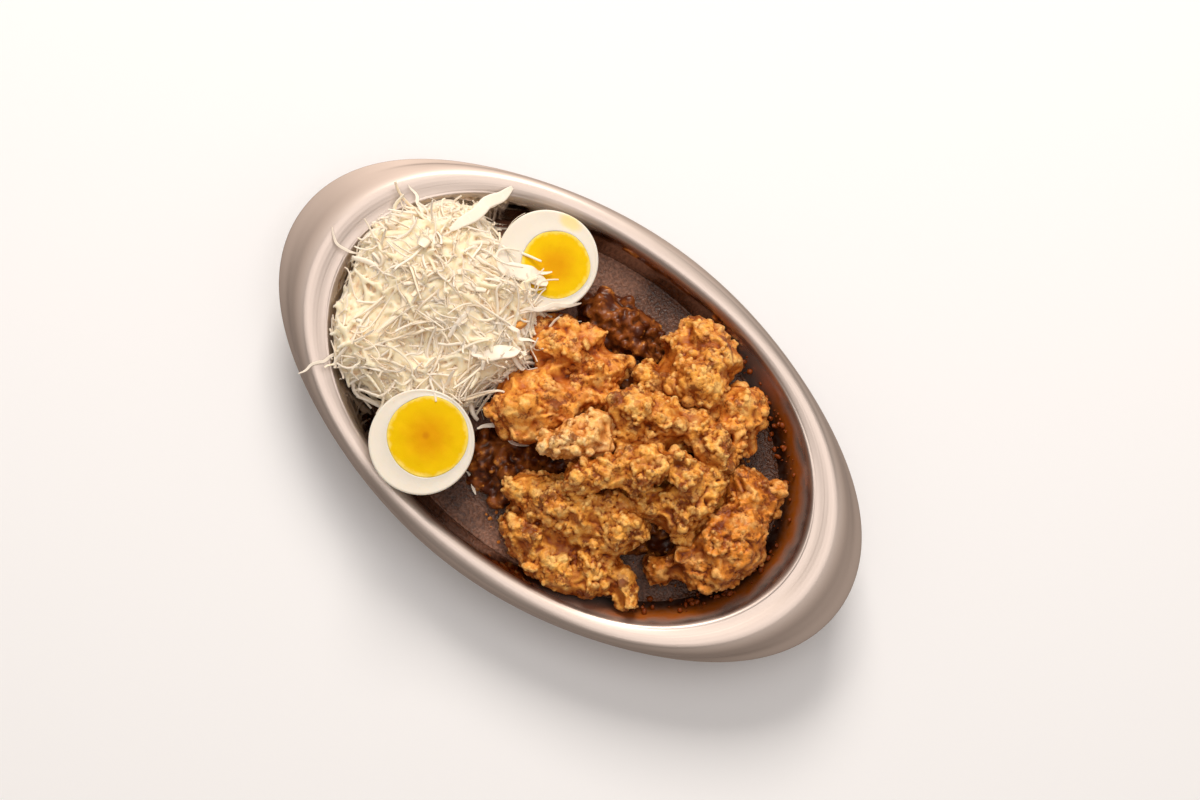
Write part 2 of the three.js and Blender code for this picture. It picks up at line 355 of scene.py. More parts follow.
def dish_tree():
    """A grid of rows and turns, laid out by the ring table."""
    sizes = {"Rows": DISH_ROWS, "Turns": DISH_TURNS + 1, "Length": cad_high.x, "Material": ""}
    tree, given, end = new_tree("boat_dish", sizes, geometry_in=False)
    grid = make(tree, "GeometryNodeMeshGrid", {
        "Size X": 1.0, "Size Y": 1.0, "Vertices X": given["Rows"], "Vertices Y": given["Turns"],
    })
    parts = split(tree, known(tree, "Position"))
    share = calc(tree, "ADD", parts["X"], 0.5)
    turn = times(tree, calc(tree, "ADD", parts["Y"], 0.5), math.tau)
    sheet = store(tree, grid.outputs["Mesh"], "from_middle", share)
    half_length, half_width, height, rise, swell, skew = (
        ring_column(tree, share, column, unit)
        for column, unit in enumerate(RING_UNITS.values())
    )
    double = times(tree, turn, 2)
    shoulder = calc(tree, "POWER", calc(tree, "SINE", double), 2)
    lean = calc(tree, "MULTIPLY_ADD", skew, calc(tree, "COSINE", double), swell)
    scale = calc(tree, "MULTIPLY_ADD", shoulder, lean, 1)
    x = times(tree, half_length, calc(tree, "COSINE", turn), scale)
    y = times(tree, half_width, calc(tree, "SINE", turn), scale)
    along = calc(tree, "POWER", calc(tree, "DIVIDE", calc(tree, "ABSOLUTE", x), given["Length"]), 2)
    z = calc(tree, "MULTIPLY_ADD", rise, along, height)
    laid = set_place(tree, sheet, join(tree, X=x, Y=y, Z=z))
    closed = make(tree, "GeometryNodeMergeByDistance", {"Geometry": laid, "Distance": 0.01 * MM})
    return finish_tree(tree, result(closed), given["Material"], end)


steel = steel_material()
thickness = ("SOLIDIFY", {"thickness": SHEET, "offset": -1.0, "use_even_offset": True})
pressing = [nodes(dish_tree()), thickness]
dish = grow("dish_steel", bpy.data.meshes.new("dish_start"), pressing, {"Material": steel})
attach(dish, "root")
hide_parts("dish")

# ---- The curry sauce ----
# Thick dark brown sauce, level in the dish and drawn up a little at the wall. Its top has begun to
# dry to a dull skin with fine pimples, and it stays wet and darker at the chicken's end.

SAUCE_LEVEL = 18 * MM
SAUCE_HALF_LENGTH = 100.9 * MM
SAUCE_HALF_WIDTH = 66.4 * MM
SAUCE_DEPTH = 4 * MM
SAUCE_TAPER = 0.955
MENISCUS = 1.1 * MM
MENISCUS_REACH = 1.6 * MM
# Slow swells and fine wrinkles of its top: height and width.
SWELL = (0.35 * MM, 17 * MM)
WRINKLE = (0.12 * MM, 3.5 * MM)
# From where to where along the dish it turns from wet to dried, and how dull it is wet and dried.
WET_FROM, DRY_FROM = 90 * MM, 45 * MM
WET_DULL, DRY_DULL = 0.24, 0.42
SAUCE_ROWS, SAUCE_TURNS = 110, 240


def mesh_of(work, name):
    """What was put together, as a mesh."""
    mesh = bpy.data.meshes.new(name)
    work.to_mesh(mesh)
    work.free()
    return mesh


def closed_body(name, rows, turns, place):
    """A closed mesh from pole to pole. place(share, turn) gives each point, share from 0 to 1."""
    work = bmesh.new()
    poles = [work.verts.new(place(0, 0)), work.verts.new(place(1, 0))]
    rings = [
        [work.verts.new(place(row / rows, math.tau * i / turns)) for i in range(turns)]
        for row in range(1, rows)
    ]
    for i in range(turns):
        j = (i + 1) % turns
        work.faces.new((poles[0], rings[0][i], rings[0][j]))
        work.faces.new((poles[1], rings[-1][j], rings[-1][i]))
        for upper, lower in zip(rings, rings[1:]):
            work.faces.new((upper[i], lower[i], lower[j], upper[j]))
    for face in work.faces:
        face.smooth = True
    return add_object(name, mesh_of(work, name))


def sauce_spot(out, turn):
    """Where the sauce is, by the share of the way out to the wall and the turn from +X."""
    return SAUCE_HALF_LENGTH * out * math.cos(turn), SAUCE_HALF_WIDTH * out * math.sin(turn)


def sauce_point(share, turn):
    """The top out to the wall for most of the way, then down the side and back to the middle."""
    top, side = 0.9, 0.95
    out = min(share / top, 1) if share <= side else (1 - share) / (1 - side)
    x, y = sauce_spot(out, turn)
    if share > top:
        return Vector((x * SAUCE_TAPER, y * SAUCE_TAPER, SAUCE_LEVEL - SAUCE_DEPTH))
    to_wall = (1 - out) * math.hypot(x, y)
    swell = SWELL[0] * noise.noise(Vector((x, y, 0)) / SWELL[1])
    wrinkle = WRINKLE[0] * noise.noise(Vector((x, y, 5)) / WRINKLE[1])
    rise = MENISCUS * math.exp(-to_wall / MENISCUS_REACH)
    return Vector((x, y, SAUCE_LEVEL + swell + wrinkle + rise))


def sauce_material():
    """A mottled skin, and the wet sauce that shows between its patches."""
    material, tree, shader, place = new_material("curry_sauce", Specular_IOR_Level=0.35)
    along = split(tree, place)["X"]
    patches = ramp(tree, grain(tree, place, 26 * MM, 3.0), 0.38, 0.6)
    patches = times(tree, patches, ramp(tree, along, WET_FROM, DRY_FROM, 0.1, 1.0))
    mottle = ramp(tree, grain(tree, place, 1.3 * MM, 3.0), 0.3, 0.7)
    skin = layered(tree, "#664435", (mottle, "#906651"))
    wet = layered(tree, "#34180a", (mottle, "#573018"))
    dull = calc(tree, "MULTIPLY_ADD", patches, DRY_DULL - WET_DULL, WET_DULL)
    feed(tree, shader, Base_Color=blend(tree, patches, wet, skin), Roughness=dull)
    pimples = make(tree, "ShaderNodeTexVoronoi", {"Vector": place, "Scale": 1 / (0.9 * MM)})
    height = calc(tree, "MULTIPLY_ADD", pimples.outputs["Distance"], -0.6, mottle)
    bump(tree, shader, height, 0.25 * MM, 0.8)
    return material


sauce = closed_body("curry_sauce_skin", SAUCE_ROWS, SAUCE_TURNS, sauce_point)
sauce.data.materials.append(sauce_material())
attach(sauce, "root")
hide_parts("curry_sauce")

# ---- The fried chicken ----
# Pieces of chicken thigh, floured and deep fried. The crust is a crag of small nodules, smooth where the
# flour was thin, with painted shade in the clefts between them. Each piece is grown from its CAD solid.

CRUST_VOXEL = 0.45 * MM
SINK_FROM = 20.5 * MM
SINK_BY = 2.2 * MM
# The pieces reach down into the sauce, but not through it.
CRUST_LOWEST = 14.4 * MM
# The wall inside at the sauce: half length and half width, and how far out it leans for each
# millimetre up. OVER_LEDGE is the lean at the ends above the ledge, LEDGE_BACK where it starts.
WALL_FOOT = (99 * MM, 65 * MM)
WALL_LEAN = (0.6, 0.42)
OVER_LEDGE, LEDGE_BACK = 1.6, -21 * MM
# How wide the craggy and the smooth patches of crust are, and the small jags of the clumps.
PATCH_SIZE = 11 * MM
JAG_SIZE = 2.6 * MM
# How far apart two seeds are in the noise, in metres, so that no two pieces have the same crust.
SEED_STEP = 0.31
# How far a point stands out of its surroundings is kept twice, for the painted highlight on tops and the
# painted shade in hollows: the number of steps that the surroundings are evened out in, and the height
# that counts as 1.
RELIEFS = {"raised": (10, 0.4 * MM), "broad": (100, 1.5 * MM)}


def merged_copy(node):
    """A node's mesh as one closed skin."""
    work = bmesh.new()
    work.from_mesh(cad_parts[node].data)
    bmesh.ops.remove_doubles(work, verts=work.verts, dist=0.002 * MM)
    return mesh_of(work, node + "_copy")


def set_offset(tree, geometry, along, by):
    """Moves the points by a number of metres along a direction."""
    offset = vector_calc(tree, "SCALE", along, by)
    return take(tree, "GeometryNodeSetPosition", {"Geometry": geometry, "Offset": offset})


def domes(tree, place, size, roundness=0.75):
    """Rounded nodules about `size` metres apart, from 0 in the clefts to 1 on top."""
    scale = calc(tree, "DIVIDE", 1, size)
    cells = make(tree, "ShaderNodeTexVoronoi", {"Vector": place, "Scale": scale})
    off = calc(tree, "DIVIDE", cells.outputs["Distance"], roundness)
    return calc(tree, "SUBTRACT", 1, calc(tree, "MINIMUM", calc(tree, "POWER", off, 2), 1))


def cloud(tree, place, size, detail=2.0):
    """A cloudy noise node, whose second output is a vector."""
    scale = calc(tree, "DIVIDE", 1, size)
    return make(tree, "ShaderNodeTexNoise", {"Vector": place, "Scale": scale, "Detail": detail})


def drift(tree, place, size, detail=2.0):
    """A direction that changes slowly from place to place, of no length on average."""
    return vector_calc(tree, "SUBTRACT", cloud(tree, place, size, detail).outputs[1], (0.5, 0.5, 0.5))


def random_value(tree, low, high, seed, salt, identity=None):
    """A random number or vector for each point or instance."""
    kind = "FLOAT_VECTOR" if isinstance(low, tuple) else "FLOAT"
    inputs = {"Min": low, "Max": high, "Seed": calc(tree, "ADD", seed, salt)}
    if identity is not None:
        inputs["ID"] = identity
    return take(tree, "FunctionNodeRandomValue", inputs, data_type=kind)


def turn_by(tree, rotation, spin):
    """A rotation turned further about its own axes."""
    inputs = {"Rotation": rotation, "Rotate By": spin}
    return take(tree, "FunctionNodeRotateRotation", inputs, rotation_space="LOCAL")


def put_on(tree, points, lump, rotation, scale):
    """A lump or strip on every point, turned and scaled, as real geometry."""
    inputs = {"Points": points, "Instance": lump, "Rotation": rotation, "Scale": scale}
    placed = take(tree, "GeometryNodeInstanceOnPoints", inputs)
    return take(tree, "GeometryNodeRealizeInstances", {"Geometry": placed})


def softened(tree, value, iterations):
    """A vector on the points, evened out with their neighbours'."""
    inputs = {"Value": value, "Iterations": iterations}
    return take(tree, "GeometryNodeBlurAttribute", inputs, data_type="FLOAT_VECTOR")


def stuck_on(tree, body, density, size, flatness, seed, salt):
    """Uneven lumps strewn over a body, each turned its own way and half sunk in."""
    strewn = make(tree, "GeometryNodeDistributePointsOnFaces", {
        "Mesh": body, "Density": density, "Seed": calc(tree, "ADD", seed, salt),
    })
    ball = make(tree, "GeometryNodeMeshIcoSphere", {"Radius": 1.0, "Subdivisions": 2})
    spin = random_value(tree, (-0.6, -0.6, 0.0), (0.6, 0.6, math.tau), seed, salt + 1)
    turned = turn_by(tree, strewn.outputs["Rotation"], spin)
    low, high = (0.7, 0.5, 0.6 * flatness), (1.3, 1.1, 1.2 * flatness)
    bulk = calc(tree, "POWER", random_value(tree, 0.0, 1.0, seed, salt + 3), 2)
    bulk = times(tree, calc(tree, "MULTIPLY_ADD", bulk, 1.1, 0.5), size)
    grown = vector_calc(tree, "SCALE", random_value(tree, low, high, seed, salt + 2), bulk)
    return put_on(tree, strewn.outputs["Points"], ball.outputs[0], turned, grown)


def length_of(tree, vector):
    """How long a vector is."""
    return make(tree, "ShaderNodeVectorMath", {0: vector}, operation="LENGTH").outputs["Value"]


def inside_dish(tree, place, lowest):
    """Brings a point in to the dish's wall, which leans out, and keeps it above the lowest height."""
    parts = split(tree, place)
    z = calc(tree, "MAXIMUM", parts["Z"], lowest)
    climb = calc(tree, "SUBTRACT", z, SAUCE_LEVEL)
    over_ledge = calc(tree, "MULTIPLY_ADD", climb, OVER_LEDGE, LEDGE_BACK)
    out = calc(tree, "MAXIMUM", times(tree, climb, WALL_LEAN[0]), over_ledge)
    length = calc(tree, "ADD", out, WALL_FOOT[0])
    width = calc(tree, "MULTIPLY_ADD", climb, WALL_LEAN[1], WALL_FOOT[1])
    x = calc(tree, "DIVIDE", parts["X"], length)
    y = calc(tree, "DIVIDE", parts["Y"], width)
    far = calc(tree, "MAXIMUM", length_of(tree, join(tree, X=x, Y=y)), 1)
    x = calc(tree, "DIVIDE", parts["X"], far)
    y = calc(tree, "DIVIDE", parts["Y"], far)
    return join(tree, X=x, Y=y, Z=z)


def crags(tree, here, seed, smooth_share):
    """Where the flour clumped, from 0 on smooth crust to 1, and the place shifted by the seed."""
    apart = times(tree, seed, SEED_STEP)
    place = vector_calc(tree, "ADD", here, join(tree, X=apart, Z=apart))
    patchy = cloud(tree, place, PATCH_SIZE).outputs[0]
    low = calc(tree, "SUBTRACT", smooth_share, 0.05)
    high = calc(tree, "ADD", smooth_share, 0.04)
    return ramp(tree, patchy, low, high), place


def clumps_tree():
    """Flour that clumped and stuck: big flakes in patches and small crumbs nearly everywhere."""
    sizes = {
        "Fold": 11 * MM, "Fold size": 9 * MM,
        "Flakes": 26000.0, "Flake size": 2.3 * MM,
        "Crumbs": 240000.0, "Crumb size": 0.78 * MM,
        "Smooth share": 0.35, "Jag": 3.4 * MM, "Seed": 0, "Material": "",
    }
    tree, given, end = new_tree("clumps", sizes)
    craggy, place = crags(tree, known(tree, "Position"), given["Seed"], given["Smooth share"])
    fold = drift(tree, place, given["Fold size"])
    body = set_offset(tree, given["Geometry"], fold, given["Fold"])
    flaky = times(tree, calc(tree, "POWER", craggy, 2), given["Flakes"])
    crumby = times(tree, calc(tree, "MULTIPLY_ADD", craggy, 0.95, 0.05), given["Crumbs"])
    flakes = stuck_on(tree, body, flaky, given["Flake size"], 0.75, given["Seed"], 10)
    crumbs = stuck_on(tree, body, crumby, given["Crumb size"], 0.8, given["Seed"], 20)
    loose = make(tree, "GeometryNodeJoinGeometry")
    for lumps in (crumbs, flakes, body):
        tree.links.new(lumps, loose.inputs[0])
    jag = times(tree, given["Jag"], craggy)
    jagged = set_offset(tree, result(loose), drift(tree, place, JAG_SIZE, 1.0), jag)
    return finish_tree(tree, jagged, given["Material"], end)


def crust_tree():
    """The finest relief on a clumped body, and how far each point stands out, kept for the painted shade
    and highlights of its colour.
    """
    sizes = {
        "Pimple": 0.55 * MM, "Pimple size": 1.6 * MM, "Smooth share": 0.35, "Seed": 0, "Material": "",
    }
    tree, given, end = new_tree("fried_crust", sizes)
    normal, here = known(tree, "Normal"), known(tree, "Position")
    warp = vector_calc(tree, "SCALE", drift(tree, here, 2.4 * MM), given["Pimple size"])
    warped = vector_calc(tree, "ADD", here, warp)
    craggy = crags(tree, here, given["Seed"], given["Smooth share"])[0]
    share = calc(tree, "MULTIPLY_ADD", craggy, 0.8, 0.2)
    pimples = times(tree, domes(tree, warped, given["Pimple size"]), given["Pimple"], share)
    shape = set_offset(tree, given["Geometry"], normal, pimples)
    sunk = ramp(tree, split(tree, here)["Z"], SAUCE_LEVEL, SINK_FROM, -SINK_BY, 0.0)
    shape = set_offset(tree, shape, (0, 0, 1), sunk)
    shape = set_place(tree, shape, inside_dish(tree, here, CRUST_LOWEST))
    for name, (iterations, unit) in RELIEFS.items():
        out = vector_calc(tree, "SUBTRACT", here, softened(tree, here, iterations))
        dot = make(tree, "ShaderNodeVectorMath", {0: out, 1: normal}, operation="DOT_PRODUCT")
        shape = store(tree, shape, name, calc(tree, "DIVIDE", dot.outputs["Value"], unit))
    # Which way the surface faces, kept for the crust's painted shade on its sides.
    shape = store(tree, shape, "upward", split(tree, softened(tree, normal, 12))["Z"])
    return finish_tree(tree, shape, given["Material"], end)


def crust_material(name, pale, golden, brown, deep):
    """Fried flour: painted highlight pale on the nodules' tops, golden between, painted shade red-brown in
    the clefts.
    """
    material, tree, shader, place = new_material(
        name, Subsurface_Weight=0.05, Subsurface_Scale=1 * MM, Subsurface_Radius=(1.0, 0.45, 0.2),
        Specular_IOR_Level=0.24
    )
    height = split(tree, place)["Z"]
    raised, broad, upward = (read(tree, name) for name in ("raised", "broad", "upward"))
    cells = make(tree, "ShaderNodeTexVoronoi", {"Vector": place, "Scale": 1 / (3.5 * MM)})
    tone = make(tree, "ShaderNodeSeparateColor", {"Color": cells.outputs["Color"]}).outputs[0]
    blotch = grain(tree, place, 8 * MM, 5.0, 0.7)
    base = layered(
        tree, golden,
        # Patches of flour, single nodules and toasted blotches, then painted shade: browner on the sides
        # and on the lower parts.
        (ramp(tree, grain(tree, place, 5 * MM, 3.0), 0.5, 0.62, 0.0, 0.6), pale),
        (ramp(tree, tone, 0.45, 1.0, 0.0, 0.5), brown),
        (ramp(tree, blotch, 0.46, 0.66, 0.0, 0.6), brown),
        (ramp(tree, upward, 0.85, 0.2, 0.0, 0.8), brown),
        (ramp(tree, height, 38 * MM, 20 * MM, 0.0, 0.7), brown),
        # Painted highlight on the tops and painted shade in the clefts, broad ones and small ones.
        (ramp(tree, broad, 0.3, 1.4, 0.0, 0.4), pale),
        (ramp(tree, broad, 0.3, -0.6, 0.0, 0.9), brown),
        (ramp(tree, raised, 0.0, -0.8, 0.0, 0.55), brown),
        (ramp(tree, broad, -0.2, -1.1, 0.0, 0.95), deep),
        (ramp(tree, raised, -0.3, -1.1, 0.0, 0.85), deep),
        (ramp(tree, raised, 0.4, 1.4, 0.0, 0.35), pale),
        # The scorched middle of the blotches, and fine specks.
        (ramp(tree, blotch, 0.54, 0.62, 0.0, 0.7), "#5a1a02"),
        (ramp(tree, grain(tree, place, 1.4 * MM, 3.0, 0.6), 0.4, 0.66, 0.0, 0.35), brown),
    )
    oily = calc(tree, "MULTIPLY_ADD", grain(tree, place, 3 * MM, 2.0), 0.4, 0.2)
    feed(tree, shader, Base_Color=base, Roughness=oily)
    bump(tree, shader, grain(tree, place, 0.6 * MM, 3.0), 0.22 * MM, 0.9)
    return material


def new_skin(voxel, smoothing):
    """Modifiers that skin loose lumps as one closed body and smooth it."""
    return [
        ("REMESH", {"mode": "VOXEL", "voxel_size": voxel}),
        ("SMOOTH", {"factor": 0.5, "iterations": smoothing}),
    ]


def fused(voxel, swell, shrink, smoothing):
    """Modifiers that melt a node's lumps into one body: swell it, skin it again and shrink it."""
    return [
        ("REMESH", {"mode": "VOXEL", "voxel_size": voxel}),
        ("DISPLACE", {"strength": swell, "mid_level": 0}),
        *new_skin(voxel, smoothing),
        ("DISPLACE", {"strength": -shrink, "mid_level": 0}),
        *new_skin(voxel, smoothing=6),
    ]


golden_crust = crust_material("golden_crust", "#ffda88", "#ffb852", "#a44c0c", "#3c1001")
# A darker copy of the golden crust, as painted shade for the piece on the right, where the light falls
# off.
painted_shade_crust = crust_material("painted_shade_crust", "#ffcc7a", "#f09838", "#8c3d08", "#380f01")
pale_crust = crust_material("pale_crust", "#ffe8b0", "#ffce7e", "#cc7a2c", "#5c2607")
orange_crust = crust_material("orange_crust", "#ffd482", "#ffb450", "#b0500e", "#401001")
KARAAGE = {
    # piece: its material, and the share of it that is smooth
    "karaage_left": (orange_crust, 0.54),
    "karaage_ridge": (golden_crust, 0.49),
    "karaage_top": (golden_crust, 0.52),
    "karaage_top_right": (orange_crust, 0.55),
    "karaage_middle": (golden_crust, 0.48),
    "karaage_right": (painted_shade_crust, 0.51),
    "karaage_pale": (pale_crust, 0.47),
    "karaage_diagonal": (golden_crust, 0.49),
    "karaage_bottom": (golden_crust, 0.48),
}
clumping = nodes(clumps_tree())
crusting = nodes(crust_tree())
frying = [
    *fused(voxel=1 * MM, swell=3 * MM, shrink=2.6 * MM, smoothing=6),
    clumping,
    *new_skin(CRUST_VOXEL, smoothing=1),
    crusting,
]
for seed, (node, (finish, smooth_share)) in enumerate(KARAAGE.items()):
    sizes = {"Material": finish, "Smooth share": smooth_share, "Seed": seed}
    piece = grow(node + "_crust", merged_copy(node), frying, sizes)
    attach(piece, "root")
    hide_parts(node)

# ---- The crumbs ----
# Bits of crust that fell off the fried chicken: many lie on the sauce close to it, many more stick
# to the wall in the film of sauce, and one larger nub is caught between the chicken and the cabbage.

CRUMBS = 90
CRUMB_REACH = 9 * MM
CRUMB_JAG = 1.2 * MM
WALL_CRUMBS = 170
WALL_CRUMBS_HIGHEST = 10 * MM
# From where to where they stick to the wall, turned from +X.
WALL_TURNS = (-0.9, 1.25)
# How far a crumb's middle stands off the wall, as a share of its size.
STAND_OFF = 0.95
# The square roots of the least and the greatest size in millimetres, so that most are small.
LOOSE_SIZES = (0.3, 1.0)
STUCK_SIZES = (0.4, 1.25)
# What a crumb says of itself as upward and broad, which its colour is mixed by through the crust's painted
# shade on sides and in clefts: fresh ones are golden, and those in the film of sauce are dark brown.
FRESH = (0.7, 0.3)
SAUCED = (0.1, -0.75)
NUB = (Vector((-37.8, 13.9, 46.5)) * MM, 3 * MM)


def fallen_crumbs(pieces):
    """Points with sizes: the nub, on the sauce beside the pieces, and on the wall."""
    depsgraph = bpy.context.evaluated_depsgraph_get()
    bodies = [BVHTree.FromObject(piece, depsgraph) for piece in pieces]
    drawn = random.Random(12)
    spots = [NUB + FRESH]
    while len(spots) < CRUMBS:
        out, turn = math.sqrt(drawn.uniform(0.0, 0.9)), drawn.uniform(0, math.tau)
        spot = Vector((*sauce_spot(out, turn), SAUCE_LEVEL))
        near = any(body.find_nearest(spot, CRUMB_REACH)[0] is not None for body in bodies)
        under = any(body.ray_cast(spot, Vector((0, 0, 1)))[0] is not None for body in bodies)
        if near and not under:
            spots.append((spot, drawn.uniform(*LOOSE_SIZES) ** 2 * MM) + FRESH)
    wall = BVHTree.FromObject(dish, depsgraph)
    for _ in range(WALL_CRUMBS):
        turn = drawn.uniform(*WALL_TURNS)
        middle = Vector((0, 0, SAUCE_LEVEL + WALL_CRUMBS_HIGHEST * drawn.uniform(0.1, 1.0) ** 1.5))
        out = Vector((*sauce_spot(1, turn), 0))
        size = drawn.uniform(*STUCK_SIZES) ** 2 * MM
        spot = wall.ray_cast(middle, out)[0] - STAND_OFF * size * out.normalized()
        spots.append((spot, size) + SAUCED)
    mesh = bpy.data.meshes.new("crumb_points")
    mesh.from_pydata([crumb[0] for crumb in spots], [], [])
    for column, name in enumerate(("size", "upward", "broad"), 1):
        values = [crumb[column] for crumb in spots]
        mesh.attributes.new(name, "FLOAT", "POINT").data.foreach_set("value", values)
    return mesh


def crumbs_tree():
    """Uneven lumps on the points, each turned its own way."""
    tree, given, end = new_tree("fallen_crumbs", {"Seed": 1, "Material": ""})
    size = make(tree, "GeometryNodeInputNamedAttribute", {"Name": "size"}, data_type="FLOAT")
    ball = make(tree, "GeometryNodeMeshIcoSphere", {"Radius": 1.0, "Subdivisions": 2})
    uneven = random_value(tree, (0.8, 0.6, 0.5), (1.4, 1.1, 0.9), given["Seed"], 1)
    spin = random_value(tree, (0.0, 0.0, 0.0), (0.6, 0.6, math.tau), given["Seed"], 2)
    grown = vector_calc(tree, "SCALE", uneven, result(size))
    lumps = put_on(tree, given["Geometry"], ball.outputs[0], spin, grown)
    jag = drift(tree, known(tree, "Position"), CRUMB_JAG)
    jagged = set_offset(tree, lumps, jag, CRUMB_JAG)
    return finish_tree(tree, jagged, given["Material"], end)


crusts = [bpy.data.objects[node + "_crust"] for node in KARAAGE]
falling = [nodes(crumbs_tree())]
crumbs = grow("fallen_crust_crumbs", fallen_crumbs(crusts), falling, {"Material": golden_crust})
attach(crumbs, "root")

# ---- The rice in the sauce ----
# A low mound of rice and bits of meat, wet with sauce, with single grains standing out of it. It
# shows at two places beside the chicken and runs on under it.

MOUND_VOXEL = 0.7 * MM


def sauced_material():
    """Dark wet sauce with paler bits in it, painted highlight on the grains and bits that stand out, and
    painted shade in the hollows.
    """
    material, tree, shader, place = new_material("sauced_rice", Roughness=0.32, Specular_IOR_Level=0.3)
    raised = read(tree, "raised")
    bits = ramp(tree, grain(tree, place, 3 * MM), 0.55, 0.68)
    base = layered(
        tree, "#4a1d06",
        (ramp(tree, grain(tree, place, 6 * MM, 3.0), 0.4, 0.6), "#8a4a1c"),
        # Paler bits, lighter still where they stand out, as painted highlight.
        (times(tree, bits, ramp(tree, raised, -0.2, 0.8)), "#c27c36"),
        # Painted shade in the hollows.
        (ramp(tree, raised, 0.0, -1.0, 0.0, 0.8), "#2c0f03"),
    )
    feed(tree, shader, Base_Color=base)
    bump(tree, shader, grain(tree, place, 0.8 * MM, 2.0), 0.1 * MM, 0.5)
    return material


stewed = [
    *fused(voxel=1 * MM, swell=3 * MM, shrink=1.5 * MM, smoothing=4),
    clumping,
    *new_skin(MOUND_VOXEL, smoothing=3),
    crusting,
]
mound_sizes = {
    "Material": sauced_material(), "Seed": 31, "Smooth share": 0.3,
    "Fold": 10 * MM, "Fold size": 9 * MM, "Jag": 1.6 * MM, "Pimple": 0.2 * MM,
    "Flakes": 34000.0, "Flake size": 2.8 * MM, "Crumbs": 60000.0, "Crumb size": 1.5 * MM,
}
mound = grow("sauced_rice_mound", merged_copy("sauced_rice"), stewed, mound_sizes)
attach(mound, "root")
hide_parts("sauced_rice")

# ---- The eggs ----
# Two halves of a boiled egg, cut across with a knife and laid with the cut face up. The yolk is set
# firm, deeper yellow in the middle, and a little off the white's middle.

EGG_TURNS = 120
EGGS = {
    # side: middle of the cut (x, y, height), radius, yolk (shift x, shift y, radius), lean in degrees
    "front": ((-40.8, -49.4, 47.4), 21.8, (0.8, 3.2, 16.7), 3.0),
    "back": ((-45.1, 42.5, 45.4), 21.3, (4.0, 0.4, 14.4), 0.0),
}
EGG_DEPTH = 27 * MM
CUT_ROUNDING = 0.7 * MM
# How deep the white's hollow is under the yolk, and the yolk in it, as shares of the yolk's radius.
HOLLOW_SHARE, YOLK_SHARE = 0.55, 0.5
# How far the white's cut face dips, the gap around the yolk, how far the yolk's face drops at its
# edge, and the height and width of its unevenness.
CUT_DIP = 0.25 * MM
YOLK_GAP = 0.05 * MM
YOLK_DROP = 0.1 * MM
YOLK_RELIEF = (0.18 * MM, 4 * MM)
WHITE_ROWS, YOLK_ROWS = 80, 50
# Where the knife has left some yolk on the back egg's white, and a small dark spot in the front egg's
# yolk.
SMEAR = Vector((-47, 61, 45.4)) * MM
YOLK_DARK_SPOT = Vector((-40.9, -46.3, 47.4)) * MM


def wobble(turn, seed, size):
    """A slow uneven radius, from 1 - size to 1 + size."""
    ring = Vector((math.cos(turn), math.sin(turn), seed))
    return 1 + size * noise.noise(ring * 1.3)


def egg_halves(side, middle, radius, yolk, lean):
    """The white and the yolk of one half, each a closed body around the cut's middle."""
    centre = Vector(middle) * MM
    half = radius * MM
    shift = Vector((yolk[0], yolk[1], 0)) * MM
    yolk_radius = yolk[2] * MM
    tilt = math.radians(lean)
    seed = middle[1]

    def placed(x, y, z):
        """A point of the half, leaned about the cut's middle."""
        turned_y = y * math.cos(tilt) - z * math.sin(tilt)
        turned_z = y * math.sin(tilt) + z * math.cos(tilt)
        return centre + Vector((x, turned_y, turned_z))

    def yolk_edge(turn):
        """The yolk's radius, which isn't quite round."""
        return yolk_radius * wobble(turn, seed, 0.02)

    def around_yolk(out, turn, z):
        """A point so far out from the yolk's middle."""
        return placed(shift.x + out * math.cos(turn), shift.y + out * math.sin(turn), z)

    def white_point(share, turn):
        """A hollow under the yolk, the cut face, its rounded edge, then the outside."""
        cos, sin = math.cos(turn), math.sin(turn)
        hollow, face, edge = 0.2, 0.4, 0.5
        ring = yolk_edge(turn)
        outer = half * wobble(turn, seed + 3, 0.012)
        if share <= hollow:
            angle = math.pi / 2 * share / hollow
            return around_yolk(ring * math.sin(angle), turn, -HOLLOW_SHARE * yolk_radius * math.cos(angle))
        if share <= face:
            t = (share - hollow) / (face - hollow)
            inner = Vector((shift.x + ring * cos, shift.y + ring * sin))
            rim = Vector((cos, sin)) * (outer - CUT_ROUNDING)
            dip = -CUT_DIP * math.sin(math.pi * t)
            spot = inner.lerp(rim, t)
            return placed(spot.x, spot.y, dip)
        if share <= edge:
            angle = math.pi / 2 * (share - face) / (edge - face)
            out = outer - CUT_ROUNDING * (1 - math.sin(angle))
            return placed(out * cos, out * sin, -CUT_ROUNDING * (1 - math.cos(angle)))
        angle = math.pi / 2 * (share - edge) / (1 - edge)
        out, z = outer * math.cos(angle), -CUT_ROUNDING - (EGG_DEPTH - CUT_ROUNDING) * math.sin(angle)
        return placed(out * cos, out * sin, z)

    def yolk_point(share, turn):
        """The cut face, a little uneven and lower at its edge, then the round underside."""
        ring = yolk_edge(turn) - YOLK_GAP
        top = 0.6
        if share <= top:
            out = ring * share / top
            spot = Vector((out * math.cos(turn), out * math.sin(turn), seed * MM)) / YOLK_RELIEF[1]
            z = YOLK_RELIEF[0] * noise.noise(spot) - YOLK_DROP * (share / top) ** 6
            return around_yolk(out, turn, z)
        angle = math.pi / 2 * (share - top) / (1 - top)
        z = -YOLK_SHARE * yolk_radius * math.sin(angle) - YOLK_DROP
        return around_yolk(ring * math.cos(angle), turn, z)

    return (
        closed_body("egg_white_%s_cut" % side, WHITE_ROWS, EGG_TURNS, white_point),
        closed_body("egg_yolk_%s_cut" % side, YOLK_ROWS, EGG_TURNS, yolk_point),
    )


